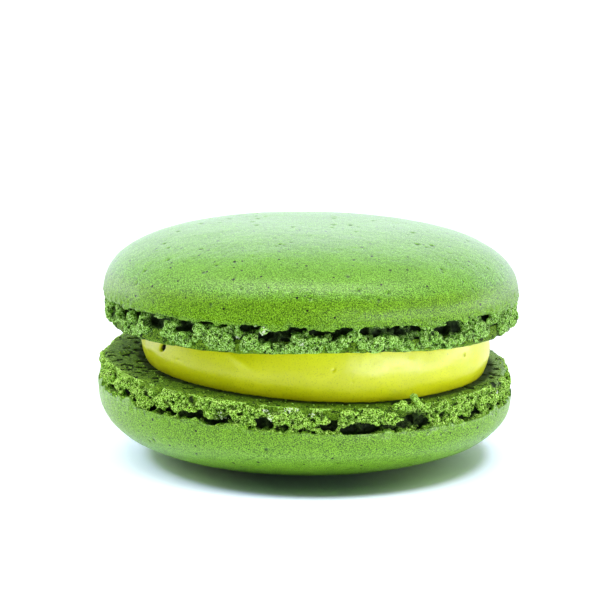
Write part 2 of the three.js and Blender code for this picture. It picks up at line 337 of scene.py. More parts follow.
def cap(shell):
    """The smooth skin: rings from the crown to the rim, its torn edge, and a flat underside out of sight."""
    radius, rise = dome_section(shell)
    rings = [np.array([[0.0, 0.0, shell.cap_height]])]
    rings += [on_ring(full_turn(6 * ring), radius[ring], rise[ring]) for ring in range(1, CAP_RINGS + 1)]
    around = 6 * CAP_RINGS
    last_ring = sum(map(len, rings)) - around
    angle = full_turn(around)
    edge = skin_edge(shell, angle) - shell.foot_height
    rings += [on_ring(angle, RADIUS - inset, edge * down) for down, inset in LIP_ROWS]
    rings.append(on_ring(angle, RADIUS - UNDERSIDE, UNDERSIDE))
    points = np.concatenate(rings)
    share = np.concatenate([np.full(len(ring), min(1.0, i / CAP_RINGS)) for i, ring in enumerate(rings)])
    strips = ring_quads(len(LIP_ROWS) + 2, around, last_ring)

    rise = points[:, 2].copy()
    torn = np.clip((share - CAP_TORN) / (1 - CAP_TORN), 0, 1)
    points, pore = roughened_skin(shell, points, share)
    if shell.cap_down:  # its crown has settled level, though its foot leans
        slope = math.tan(math.radians(shell.roll)) * points[:, 0] + math.tan(math.radians(shell.pitch)) * points[:, 1]
        points[:, 2] -= slope * np.maximum(points[:, 2], 0) / shell.cap_height
    points[:, 2] += shell.foot_height
    world = to_world(shell, points)
    if shell.cap_down:
        world[:, 2] = np.maximum(world[:, 2], 0)
    faces = np.concatenate([disc_triangles(CAP_RINGS), strips[:, [0, 3, 2]], strips[:, [0, 2, 1]]])
    return make_piece(f"{shell.name}_cap", world, faces, [range(len(points) - around, len(points))],
                      {"pore": pore, "rise": rise, "torn": torn})


def disc_triangles(rings):
    """Triangles of a disc whose ring k has 6 k points."""
    faces = []
    inner = np.zeros(1, int)
    for ring in range(1, rings + 1):
        outer = inner[-1] + 1 + np.arange(6 * ring)
        for side in range(6):
            o = outer[(side * ring + np.arange(ring + 1)) % (6 * ring)]
            i = inner[(side * (ring - 1) + np.arange(ring)) % len(inner)]
            faces += [np.stack([i, o[:-1], o[1:]], -1), np.stack([i[:-1], o[1:-1], i[1:]], -1)]
        inner = outer
    return np.concatenate(faces)


def roughened_skin(shell, points, share):
    """Moves a cap's points for unevenness and pinholes, and tells how near each is to a pinhole, up to 1."""
    outward = points * (1, 1, 2.6)
    outward /= np.linalg.norm(outward, axis=1, keepdims=True) + 1e-9
    shift = layered(points, shell.seed, (0.06, 7), (0.035, 2.6))
    shift += layered(points, shell.seed + 2, (0.014, 0.8), (0.012, 0.3))
    shift += 0.1 * smooth_step(0.955, 1, share) * noise(points, 0.5, shell.seed + 4)
    pore = np.zeros(len(points))
    generator = np.random.default_rng(shell.seed)
    steps = np.sqrt(generator.uniform(0, 1, CAP_PITS)) * CAP_RINGS
    angles = generator.uniform(0, 2 * math.pi, CAP_PITS)
    sizes = 0.14 + 0.2 * generator.uniform(0, 1, CAP_PITS) ** 3
    section = [np.interp(steps, np.arange(CAP_RINGS + 1), values) for values in dome_section(shell)]
    for r, z, angle, size in zip(*section, angles, sizes):
        centre = np.array([r * math.cos(angle), r * math.sin(angle), z])
        near = np.nonzero(np.abs(points - centre).max(1) < 3 * size)[0]
        away = np.linalg.norm(points[near] - centre, axis=1)
        depth = np.exp(-((away / size) ** 2) * 1.5)
        shift[near] -= 0.5 * size * depth
        pore[near] = np.maximum(pore[near], depth)
    return points + outward * shift[:, None], pore


# ---- Crumb ----


def hollows_of(shell):
    """(angle in the own frame, up, wide, tall, deep) of every pocket in a foot."""
    draw = random_stream(shell.seed + 7)
    step = (BEHIND_TO - BEHIND_FROM) / BEHIND_COUNT
    behind = [(BEHIND_FROM + step * (i + 0.2 + 0.6 * draw()), *[between(draw, limits) for limits in BEHIND_SIZES])
              for i in range(BEHIND_COUNT)]
    return [(own_angle(shell, hollow[0]), *hollow[1:]) for hollow in (*shell.hollows, *behind)]


class Grid:
    """A grid round the rim: angle, radius and height steps of about one voxel."""

    def __init__(self, shell):
        self.around = round(2 * math.pi * RADIUS / VOXEL)
        self.step = 2 * math.pi / self.around
        low = -1.92 if shell.cap_down else -3 * VOXEL  # the lower foot carries the chip of crust
        self.angle = full_turn(self.around)
        self.radius = np.arange(GRID_INNER, GRID_OUTER, VOXEL)
        self.height = np.arange(low, shell.foot_height + 1.05 + VOXEL, VOXEL)
        a, r, h = np.meshgrid(self.angle, self.radius, self.height, indexing="ij")
        self.r, self.h = r.astype(np.float32), h.astype(np.float32)
        self.points = on_ring(a, r, h).astype(np.float32)

    def block(self, angle, radius, height, reach):
        """An index for the block of grid round a place, and distances to it along, out and up."""
        wide = math.ceil(reach / VOXEL)
        steps = round(angle / self.step) + np.arange(-wide, wide + 1)
        along = (steps * self.step - angle) * RADIUS
        r = np.nonzero(np.abs(self.radius - radius) <= reach)[0]
        h = np.nonzero(np.abs(self.height - height) <= reach)[0]
        deltas = along[:, None, None], (self.radius[r] - radius)[None, :, None], (self.height[h] - height)[None, None]
        return np.ix_(steps % self.around, r, h), deltas


def ball(deltas, size, push=1):
    """Distance from a ball, or from one that is squeezed or drawn out towards the rim."""
    u, v, w = deltas
    return np.sqrt(u * u + (v / push) ** 2 + w * w) - size


def column(values):
    """Values round the rim, to go with a grid."""
    return values.astype(np.float32)[:, None, None]


def crumb_field(shell, grid):
    """Below zero inside the crumb, in about millimetres from its surface."""
    seed = shell.seed
    points, r, h, angle = grid.points, grid.r, grid.h, grid.angle
    ring = on_ring(angle)
    edge = skin_edge(shell, angle)
    gap = CRACK_HEIGHT + CRACK_WANDER * ripple(seed + 3, (9, 14, 23, 37))(angle) + 0.35 * noise(ring, 1.7, seed + 5)

    # The foot's lumpy side below the crack, the neck inside it, and the crumb under the cap's edge.
    sway = layered(points, seed + 1, (0.3, 1.5), (0.16, 0.7))
    side = column(RADIUS - FOOT_INSET + 0.15 * ripple(seed + 4, (7, 13, 19, 31))(angle))
    lower = smooth_max(r - side + sway, h - column(edge - gap) + sway, 0.4)
    draw = random_stream(seed)
    for i in range(CRUMBS_AROUND):
        lump_angle = 2 * math.pi * (i + draw()) / CRUMBS_AROUND
        up, size = between(draw, (0.3, shell.foot_height - 0.5)), between(draw, CRUMB_SIZE)
        block, deltas = grid.block(lump_angle, RADIUS - LUMP_INSET, up, size + 0.5)
        lower[block] = smooth_min(lower[block], ball(deltas, size, LUMP_PUSH) + 0.7 * sway[block], 0.1)
    neck = r - column(RADIUS - NECK_INSET + 0.4 * noise(ring, 2.5, seed + 6)) + 1.4 * sway
    under = column(edge - 0.12 - 0.2 * np.maximum(0, noise(ring, 1.2, seed + 8)))
    upper = smooth_max(r - (RADIUS - SKIN), under - h + 0.6 * sway, 0.2)
    field = smooth_min(smooth_min(lower, neck, 0.2), upper, 0.15)

    for hollow in hollows_of(shell):
        carve(shell, grid, field, hollow)
    roughen(shell, grid, field)
    field += layered(points, seed + 11, (0.06, 0.45), (0.045, 0.26))
    lip = column(lip_height(shell, angle))
    level = -h - lip + 0.06 * noise(points, 0.6, seed + 13)
    field = np.where(h < 0.4, smooth_max(field, level, 0.1), field)
    for at, radius, up, size in shell.knobs:
        block, deltas = grid.block(own_angle(shell, at), radius, up, size + 0.5)
        field[block] = smooth_min(field[block], ball(deltas, size) + 0.6 * sway[block], 0.12)

    # It is plain where the cap and the flat face cover it, but pockets that open downwards go through.
    behind_skin = smooth_step(shell.foot_height + 0.5, shell.foot_height + 0.8, h)
    field += (r - (RADIUS - SKIN) - field) * behind_skin
    under_face = smooth_step(RIM_INNER + 0.4, RIM_INNER + 0.15, r) * smooth_step(1.0, 0.6, h)
    field += (0.14 - lip - h - field) * under_face
    for at, *sizes in open_hollows(shell):
        carve(shell, grid, field, (own_angle(shell, at), *sizes), RIM_INNER + 0.1)
    if shell.cap_down:
        add_flake(shell, grid, field)
    return field


def open_hollows(shell):
    """The pockets that open through the foot's flat face: (degrees, up, wide, tall, deep)."""
    return [hollow for hollow in shell.hollows if hollow[1] < hollow[3] / 2]


def carve(shell, grid, field, hollow, inner=0):
    """Cuts a ragged hollow into the crumb, down to an inner radius."""
    hollow_angle, up, wide, tall, deep = hollow
    block, (u, v, w) = grid.block(hollow_angle, RADIUS - 0.2, up, wide / 2 + 0.8)
    points = grid.points[block]
    ragged = 1 + 0.5 * noise(points, 0.9, shell.seed + 9) + 0.25 * noise(points, 0.45, shell.seed + 10)
    reach = np.sqrt((2 * u / wide) ** 2 + (2 * v / deep) ** 2 + (2 * w / tall) ** 2)
    cut = np.minimum((ragged - reach) * tall / 2, grid.r[block] - inner)
    field[block] = smooth_max(field[block], cut, 0.1)


def roughen(shell, grid, field):
    """Scatters small grains over the crumb's surface, and small bubbles into it."""
    generator = np.random.default_rng(shell.seed)
    outermost = len(grid.radius) - 1 - np.argmax((field < 0)[:, ::-1], axis=1)
    top = np.searchsorted(grid.height, shell.foot_height + 0.1)
    bottom = np.searchsorted(grid.height, -0.05)
    for count, low, high, sign in GRAINS_AND_BUBBLES:
        for _ in range(count):
            a, k = generator.integers(grid.around), generator.integers(bottom, top)
            size = generator.uniform(low, high)
            radius = grid.radius[outermost[a, k]] - 0.35 * size
            block, deltas = grid.block(grid.angle[a], radius, grid.height[k], size + VOXEL)
            old, bit = field[block], ball(deltas, size)
            field[block] = smooth_min(old, bit, 0.05) if sign < 0 else np.maximum(old, -bit)


def add_flake(shell, grid, field):
    """A chip of crust that stands on the rim and leans to the left."""
    block, (u, v, w) = grid.block(own_angle(shell, FLAKE_AT), FLAKE_RADIUS, FLAKE_UP, 1.5)
    lean = math.radians(FLAKE_LEAN)
    along = u * math.sin(lean) - w * math.cos(lean)
    across = u * math.cos(lean) + w * math.sin(lean)
    thick, deep, long = FLAKE_SIZE
    slab = np.maximum(np.maximum(np.abs(across) - thick, np.abs(v) - deep), np.abs(along) - long)
    slab = slab + 0.07 * noise(grid.points[block], 0.5, shell.seed + 14)
    field[block] = smooth_min(field[block], slab, 0.08)


def surface_net(field, keep):
    """The zero surface of a field whose first axis closes on itself: points in grid steps, and quads."""
    around = len(field)
    wrapped = np.concatenate([field, field[:1]])
    inside = wrapped < 0
    shape = (around, field.shape[1] - 1, field.shape[2] - 1)
    filled = sum(inside[tuple(slice(c, c + n) for c, n in zip(corner, shape))].astype(np.int8) for corner in CORNERS)
    cells = (filled > 0) & (filled < 8) & keep
    index = np.full(shape, -1, np.int64)
    index[cells] = np.arange(cells.sum())

    # A point lies in the middle of the places where its cell's edges cross the surface.
    place = np.stack(np.nonzero(cells), -1)
    total, hits = np.zeros(place.shape), np.zeros(len(place))
    for corner, axis in itertools.product(CORNERS, range(3)):
        if corner[axis]:
            continue
        near = place + corner
        far = near + np.eye(3, dtype=int)[axis]
        a, b = wrapped[tuple(near.T)], wrapped[tuple(far.T)]
        crosses = (a < 0) != (b < 0)
        offset = np.tile(np.array(corner, float), (len(place), 1))
        offset[:, axis] += np.where(crosses, a / np.where(crosses, a - b, 1), 0)
        total[crosses] += offset[crosses]
        hits += crosses
    points = place + total / hits[:, None]

    # A quad joins the four cells round each step of the grid that crosses the surface.
    quads = []
    for axis in range(3):
        whole = inside[:around] if axis else inside
        size = whole.shape[axis] - 1
        start, end = (whole.take(range(k, k + size), axis) for k in (0, 1))
        node = np.stack(np.nonzero(start != end), -1)
        b, c = [a for a in range(3) if a != axis]
        sides = []
        for db, dc in ((-1, -1), (0, -1), (0, 0), (-1, 0)):
            cell = node.copy()
            cell[:, b] += db
            cell[:, c] += dc
            cell[:, 0] %= around
            valid = np.all((cell >= 0) & (cell < shape), axis=1)
            found = np.full(len(cell), -1)
            found[valid] = index[tuple(cell[valid].T)]
            sides.append(found)
        quad = np.stack(sides, -1)
        flip = start[tuple(node.T)] ^ (axis == 1)
        quad = np.where(flip[:, None], quad[:, ::-1], quad)
        quads.append(quad[(quad >= 0).all(1)])
    return points, np.concatenate(quads)


def largest_part(count, quads):
    """Which points belong to the surface's largest connected part."""
    label = np.arange(count)
    while True:
        new = label.copy()
        np.minimum.at(new, quads.ravel(), np.repeat(label[quads].min(1), 4))
        new = new[new]
        if (new == label).all():
            return label == np.bincount(label).argmax()
        label = new


def open_loops(quads):
    """The holes in a surface, as polygons that close them."""
    start, end = quads.ravel(), np.roll(quads, -1, axis=1).ravel()
    big = quads.max() + 1
    lone = ~np.isin(start * big + end, end * big + start)
    follow = dict(zip(end[lone].tolist(), start[lone].tolist()))
    loops = []
    while follow:
        loop = [next(iter(follow))]
        while loop[-1] in follow:
            loop.append(follow.pop(loop[-1]))
        loops.append(loop[:-1])
    return [loop for loop in loops if len(loop) > 2]


def solid_share(field, reach, steps):
    """How much of the block round each place is solid: over a half in dents, under it on bumps."""
    share = (field < 0).astype(np.float32)
    for axis in range(3):
        padded = np.pad(share, [(reach + 1, reach) if a == axis else (0, 0) for a in range(3)],
                        mode="edge" if axis else "wrap")
        total = np.cumsum(padded, axis=axis, dtype=np.float64)
        first, last = (total.take(range(k, k + share.shape[axis]), axis) for k in (0, 2 * reach + 1))
        share = ((last - first) / (2 * reach + 1)).astype(np.float32)
    i = np.rint(steps).astype(int)
    i[:, 0] %= len(field)
    return share[tuple(i.T)]


def foot(shell):
    """The crumb that shows under the cap's edge, round the rim and in the crack, with its grid and field."""
    grid = Grid(shell)
    field = crumb_field(shell, grid)
    radius, height = grid.radius[:-1] + VOXEL / 2, grid.height[:-1] + VOXEL / 2
    keep = np.ones((len(radius), len(height)), bool)
    keep[:, height > shell.foot_height + 0.95] = False  # out of sight inside the cap
    keep[np.ix_(radius < RIM_INNER, height < 0.6)] = False  # and inside the flat face
    keep[:2] = keep[:, :2] = False
    steps, quads = surface_net(field, keep[None])
    main = largest_part(len(steps), quads)
    number = np.cumsum(main) - 1
    quads = number[quads[main[quads[:, 0]]]]
    steps = steps[main]

    angle = steps[:, 0] * grid.step
    r = grid.radius[0] + steps[:, 1] * VOXEL
    h = grid.height[0] + steps[:, 2] * VOXEL
    dent, gap = (solid_share(field, reach, steps) for reach in (2, 5))
    depth = np.minimum(RADIUS - 0.2 - r, h + lip_height(shell, angle))
    piece = make_piece(f"{shell.name}_foot", to_world(shell, on_ring(angle, r, h)), quads, open_loops(quads),
                       {"dent": dent, "gap": gap, "depth": depth})
    return piece, (grid, field)


# ---- Flat faces ----


def face(shell):
    """The flat face of a foot inside its crumbly rim: leathery, pitted and frayed at its edge."""
    seed = shell.seed
    angle = full_turn(FACE_AROUND)
    radii = np.concatenate([[2, 8, 14], np.arange(17.8, FACE_EDGE, 0.15), [FACE_EDGE]])
    notch = np.zeros(FACE_AROUND)
    for at, _, wide, *_ in open_hollows(shell):
        notch -= np.exp(-((2 * along_rim(shell, angle, at) / wide) ** 4))
    frayed = layered(on_ring(angle), seed + 20, (0.2, 1.6), (0.16, 0.6)) + 0.55 * notch
    points = np.concatenate([on_ring(angle, radius + smooth_step(FACE_EDGE - 1.2, FACE_EDGE, radius) * frayed)
                             for radius in radii])

    # It is plain at the front, rough at the sides, paler on the right, and in between behind. The paler veil on the
    # right is partly a real dusting and partly painted sheen.
    turned = np.tile(at_of(shell, angle), len(radii)) - PLAIN_AT
    from_front = np.abs((turned + 180) % 360 - 180)
    on_right = turned % 360 < 180
    behind = smooth_step(105, 140, from_front)
    rough = smooth_step(40, 75, from_front) * (1 - 0.55 * behind) * np.where(on_right, 0.75, 1)
    # The veil mask: partly a real dusting, partly painted sheen where light glances off the right side.
    dust_and_sheen = smooth_step(50, 80, from_front) * (1 - behind) * np.where(on_right, 1, 0.15)
    patch = smooth_step(-0.3, 0.5, noise(points, 4.5, seed + 25))
    slit = noise(points, 0.8, seed + 22) + 0.5 * noise(points, 0.4, seed + 26) + 0.25 * patch
    slit = 2.2 * np.maximum(0, slit - 0.62 + 0.42 * rough)
    relief = layered(points, seed + 23, (0.05, 1.6), (0.035, 0.5)) - 0.25 * slit
    radius = np.repeat(radii, FACE_AROUND)
    lip = np.tile(lip_height(shell, angle), len(radii)) * smooth_step(LIP_FROM, LIP_TO, radius)
    points[:, 2] = -0.04 - lip - relief + 0.3 * smooth_step(0.25, 0, FACE_EDGE - radius)

    # A last ring, sunk in the crumb, closes the edge.
    world = to_world(shell, np.concatenate([points, on_ring(angle, radii[-1] - 0.3 + 0.8 * notch, 1.2)]))
    # Distance from the cream's edge, by which the face is darkened next to it as painted shade.
    from_cream = np.hypot(world[:, 0] - CREAM_CENTRE[0], world[:, 1] - CREAM_CENTRE[1]) - CREAM_RADIUS
    slit, dust_and_sheen = (np.concatenate([values, np.zeros(FACE_AROUND)]) for values in (slit, dust_and_sheen))
    ends = [range(FACE_AROUND)[::-1], range(len(points), len(world))]
    return make_piece(f"{shell.name}_face", world, ring_quads(len(radii) + 1, FACE_AROUND)[:, ::-1], ends,
                      {"slit": slit, "dust_and_sheen": dust_and_sheen, "from_cream": from_cream})


# ---- Specks ----


def blobs(name, places, sizes, seed):
    """Small lumpy twenty-sided bits, all in one piece."""
    golden = (1 + math.sqrt(5)) / 2
    pairs = [(a, b) for b in (golden, -golden) for a in (-1, 1)]
    corners = np.array([(a, b, 0) for a, b in pairs] + [(0, a, b) for a, b in pairs] + [(b, 0, a) for a, b in pairs])
    corners /= math.hypot(1, golden)
    sides = np.array([(0, 11, 5), (0, 5, 1), (0, 1, 7), (0, 7, 10), (0, 10, 11), (1, 5, 9), (5, 11, 4), (11, 10, 2),
                      (10, 7, 6), (7, 1, 8), (3, 9, 4), (3, 4, 2), (3, 2, 6), (3, 6, 8), (3, 8, 9), (4, 9, 5),
                      (2, 4, 11), (6, 2, 10), (8, 6, 7), (9, 8, 1)])
    generator = np.random.default_rng(seed)
    points, faces = [], []
    for i, (place, size) in enumerate(zip(places, sizes)):
        stretch = size * generator.uniform(0.65, 1.25, 3)
        turn = np.linalg.qr(generator.normal(size=(3, 3)))[0]
        turn *= np.sign(np.linalg.det(turn))
        bit = corners * generator.uniform(0.8, 1.15, (12, 1)) * stretch
        points.append(bit @ turn.T + place)
        faces.append(sides + 12 * i)
    return make_piece(name, np.concatenate(points), np.concatenate(faces), smooth=False)


def add_specks(surfaces):
    """Pale bits of almond in the crumb: clusters that show at the front, and a few more all round."""
    generator = np.random.default_rng(5)
    places, sizes = [], []
    for shell, (grid, field) in surfaces:
        spots = [(own_angle(shell, at), up, 8) for at, up in shell.specks]
        spots += [(own_angle(shell, generator.uniform(60, 300)), generator.uniform(0.3, shell.foot_height - 0.6), 4)
                  for _ in range(14)]
        for angle, up, count in spots:
            for _ in range(count):
                a = angle + generator.normal(0, 0.16) / RADIUS
                h = up + generator.normal(0, 0.13)
                line = field[round(a / grid.step) % grid.around, :, np.searchsorted(grid.height, h)]
                inside = np.nonzero(line < 0)[0]
                if len(inside):
                    r = grid.radius[inside[-1]]
                    places.append(to_world(shell, np.array([r * math.cos(a), r * math.sin(a), h])))
                    sizes.append(generator.uniform(0.06, 0.13))
    return blobs("almond_specks", places, sizes, 17)


def add_crumbs():
    """Loose crumbs that lie on the lower flat face round the cream."""
    generator = np.random.default_rng(9)
    places, sizes = [], []
    for _ in range(110):
        angle = generator.uniform(0, 2 * math.pi)
        size = generator.uniform(0.05, 0.16)
        reach = CREAM_RADIUS + 0.5 + abs(generator.normal(0, 1.0))
        x, y = CREAM_CENTRE[0] + reach * math.cos(angle), CREAM_CENTRE[1] + reach * math.sin(angle)
        if math.hypot(x, y) < FACE_EDGE - 0.2:
            places.append((x, y, ledge_height(LOWER, x, y) + 0.06 + 0.4 * size))
            sizes.append(size)
    return blobs("crumbs", places, sizes, 21)


# ---- Cream ----

CREAM_AROUND = 760
CREAM_ROWS = 42
CREAM_TALL = 5  # its usual height, which turns shares of it into millimetres
CREAM_WIDEST = 0.42, 0.58  # shares of the height: its side turns in above the first and below the second
# Pits: (degrees, share of the height, half width, half height, how deep).
CREAM_PITS = ((-58.7, 0.7, 0.42, 0.42, 1.2), (5.5, 0.62, 0.12, 0.12, 0.2), (11.5, 0.4, 0.1, 0.1, 0.15),
              (56, 0.7, 0.12, 0.13, 0.25), (-50, 0.52, 0.1, 0.12, 0.2))
# Folds and dents: (degrees, share of the height, half width, half height, slope, how far out).
CREAM_FOLDS = ((-25, 0.74, 1.5, 0.5, -0.45, 0.14), (-20, 0.88, 1.2, 0.4, 0, -0.1), (31.5, 0.76, 0.3, 0.25, 0, 0.04),
               (26, 0.45, 1.1, 1.5, 0.1, -0.09), (18.5, 0.45, 1.4, 1.0, 0, 0.08), (40, 0.45, 3.0, 1.3, 0.1, 0.1),
               (-66, 0.3, 1.0, 0.8, 0, -0.1), (62, 0.6, 1.0, 1.4, 0.3, -0.07), (100, 0.6, 1.2, 1.0, 0.3, 0.12),
               (135, 0.5, 0.9, 1.6, -0.3, -0.12), (170, 0.7, 1.6, 0.6, -0.4, 0.13),
               (-150, 0.5, 1.0, 1.6, 0.2, -0.12), (-115, 0.7, 1.4, 0.6, 0.4, 0.12))
BULGE_AT, BULGE_WIDE, BULGE_OUT = -76, 0.5, 0.35  # where the cream bulges under the upper foot


def cream():
    """The cream: a wedge-shaped layer with a bulging side, faint dents and a pit."""
    angle = full_turn(CREAM_AROUND)
    wave = CREAM_WAVE * ripple(5, (2, 3, 5, 8))(angle)
    rows = [on_ring(angle, 0.4 * CREAM_RADIUS, 0.0)]
    above, below = CREAM_WIDEST
    for share in np.linspace(0, 1, CREAM_ROWS):
        inset = CREAM_TUCK * max(0, 1 - share / below) ** 2.2 + CREAM_ROLL_OVER * max(0, (share - above) / below) ** 2
        rows.append(on_ring(angle, CREAM_RADIUS + wave - inset, share))
    points = np.concatenate([*rows, on_ring(angle, 0.4 * CREAM_RADIUS, 1.0)])
    share = points[:, 2].copy()
    place = points * (1, 1, CREAM_TALL)
    outward = on_ring(np.arctan2(points[:, 1], points[:, 0]), 1.0)
    shift = 0.06 * noise(place, 5, 31) + 0.03 * noise(place * (1, 1, 0.5), 1.8, 32)
    shift += 0.008 * noise(place, 0.5, 33)
    at = np.degrees(np.arctan2(points[:, 0], -points[:, 1]))
    for fold_at, fold_share, wide, tall, slope, out in CREAM_FOLDS:
        along = np.radians((at - fold_at + 180) % 360 - 180) * CREAM_RADIUS
        up = (share - fold_share) * CREAM_TALL - slope * along
        shift += out * np.exp(-((along / wide) ** 2) - (up / tall) ** 2)
    pit = np.zeros(len(points))
    for pit_at, pit_share, wide, tall, deep in CREAM_PITS:
        along = np.radians(at - pit_at) * CREAM_RADIUS
        up = (share - pit_share) * CREAM_TALL
        dip = np.exp(-(((along - 0.3 * up) / wide) ** 2 + (up / tall) ** 2) ** 2)
        shift -= deep * dip
        pit = np.maximum(pit, dip * min(1, deep))
    along = np.radians(at - BULGE_AT) * CREAM_RADIUS - 2.2 * (0.9 - share)
    shift += BULGE_OUT * np.exp(-((along / BULGE_WIDE) ** 2)) * smooth_step(0.35, 0.7, share)
    points += outward * shift[:, None]
    x, y = points[:, 0] + CREAM_CENTRE[0], points[:, 1] + CREAM_CENTRE[1]
    floor, roof = ledge_height(LOWER, x, y) - 0.02, ledge_height(UPPER, x, y) + 0.02
    world = np.stack([x, y, floor + (roof - floor) * share], -1)
    ends = [range(CREAM_AROUND)[::-1], range(len(points) - CREAM_AROUND, len(points))]
    return make_piece("cream", world, ring_quads(CREAM_ROWS + 2, CREAM_AROUND), ends, {"pit": pit})


# ---- Materials ----


def srgb(text):
    """A linear colour from its hex code."""
    values = [int(text[i:i + 2], 16) / 255 for i in (0, 2, 4)]
    return tuple(v / 12.92 if v <= 0.04045 else ((v + 0.055) / 1.055) ** 2.4 for v in values) + (1,)


class Shader:
    """A material under construction, with its Principled shader and colour so far."""

    def __init__(self, name):
        self.material = bpy.data.materials.new(name)
        self.material.use_nodes = True
        self.tree = self.material.node_tree
        self.surface = self.tree.nodes["Principled BSDF"].inputs
        self.place = self.node("ShaderNodeTexCoord").outputs["Object"]
        self.colour = (0, 0, 0, 1)

    def node(self, kind, inputs=(), **settings):
        made = self.tree.nodes.new(kind)
        for key, value in settings.items():
            setattr(made, key, value)
        for key, value in dict(inputs).items():
            self.link(value, made.inputs[key])
        return made

    def link(self, source, socket):
        """Links another node's output to a socket, or sets it to a value."""
        if hasattr(source, "is_output"):
            self.tree.links.new(source, socket)
        else:
            socket.default_value = source

    def finish(self, **inputs):
        """Sets or links the surface's inputs, whose names have spaces for the low lines here."""
        for key, value in {"Base_Color": self.colour, **inputs}.items():
            self.link(value, self.surface[key.replace("_", " ")])
        return self.material

    def noise(self, size, detail=2.0, roughness=0.5):
        """Noise from 0 to 1 with features about `size` mm wide."""
        return self.node("ShaderNodeTexNoise", {"Vector": self.place, "Scale": 1 / (size * MM), "Detail": detail,
                                                "Roughness": roughness}).outputs["Fac"]

    def attribute(self, name):
        return self.node("ShaderNodeAttribute", attribute_name=name).outputs["Fac"]

    def math(self, operation, a, b=0.0):
        return self.node("ShaderNodeMath", {0: a, 1: b}, operation=operation).outputs["Value"]

    def fade(self, value, low, high, start=0.0, end=1.0):
        """Runs from start to end as the value runs from low to high."""
        ends = {"Value": value, "From Min": low, "From Max": high, "To Min": start, "To Max": end}
        return self.node("ShaderNodeMapRange", ends, interpolation_type="SMOOTHSTEP").outputs["Result"]

    def mix(self, factor, a, b, blend="MIX"):
        return self.node("ShaderNodeMix", {0: factor, 6: a, 7: b}, data_type="RGBA", blend_type=blend).outputs[2]

    def blend(self, value, a, b, low=0.35, high=0.65):
        """A colour that runs from one tone to another as the value rises."""
        return self.mix(self.fade(value, low, high), srgb(a), srgb(b))

    def cover(self, factor, tone):
        """Lays a tone over the colour, more of it where the factor is higher."""
        self.colour = self.mix(factor, self.colour, srgb(tone))

    def lay(self, value, low, high, tone, share=1.0):
        """Lays a tone over the colour, up to a share of it as the value runs from low to high."""
        self.cover(self.fade(value, low, high, 0, share), tone)

    def speckle(self, size, reach, from_chance, tone, share):
        """Dots of a tone, of chance sizes, in some of the cells of a pattern `size` mm wide."""
        cells = self.node("ShaderNodeTexVoronoi", {"Vector": self.place, "Scale": 1 / (size * MM)})
        chance = self.node("ShaderNodeSeparateColor", {"Color": cells.outputs["Color"]}).outputs["Red"]
        dots = self.math("LESS_THAN", cells.outputs["Distance"], self.fade(chance, from_chance, 1.0, 0.0, reach))
        self.cover(self.math("MULTIPLY", dots, share), tone)

    def bump(self, height, distance, strength=1.0, under=None):
        inputs = {"Strength": strength, "Distance": distance * MM, "Height": height}
        if under is not None:
            inputs["Normal"] = under
        return self.node("ShaderNodeBump", inputs).outputs["Normal"]


def skin_material(name, darker, lighter, mottled, crown, dry_lip):
    """A cap's baked skin: speckled green with a low sheen, pricked with pinholes. Near its crown it is tinted paler
    and bluer, which is painted light, and its pinholes are darkened, which is painted shade.
    """
    s = Shader(name)
    mottle = s.noise(0.8, 4, 0.6)
    grain = s.noise(0.125, 2, 0.8)
    rise = s.attribute("rise")
    s.colour = s.blend(s.noise(5.0, 3), darker, lighter)
    s.lay(mottle, 0.35, 0.7, mottled, 0.6)
    strong = s.fade(rise, 2.0, 6.0, 0.92, 0.6)
    s.cover(s.math("MULTIPLY", s.fade(grain, 0.5, 0.6), strong), "9cd634")
    s.cover(s.math("MULTIPLY", s.fade(grain, 0.5, 0.39), strong), "243e04")
    # Painted light: from a height on, the colour is multiplied by the crown tint, which stands in for light and is
    # not a colour of the batter.
    painted_crown_light_height = s.math("ADD", rise, s.math("MULTIPLY", mottle, 1.6))
    s.colour = s.mix(s.fade(painted_crown_light_height, 3.2, 4.2), s.colour, (*crown, 1), "MULTIPLY")
    frayed = s.math("ADD", s.attribute("torn"), s.math("MULTIPLY", mottle, 1.4))
    crust = s.blend(grain, "2c580a", "98cc4c", 0.42, 0.58)
    s.colour = s.mix(s.fade(frayed, 1.35, 1.7, 0, 0.65), s.colour, crust)
    # Painted shade: the pinhole pits are darkened, and near-black dots stand for smaller pinholes that have no shape.
    s.lay(s.attribute("pore"), 0.2, 0.8, "264a08", 0.85)
    s.speckle(0.55, 0.12, 0.5, "1c3408", 0.75)
    s.speckle(1.0, 0.17, 0.3, "070a03", 0.98)
    shine = s.fade(rise, 0.1, 2.4, 0.12, 0.42) if dry_lip else 0.42
    normal = s.bump(mottle, 0.06, 0.7, s.bump(grain, 0.02))
    return s.finish(Normal=normal, Roughness=0.32, Specular_IOR_Level=shine)


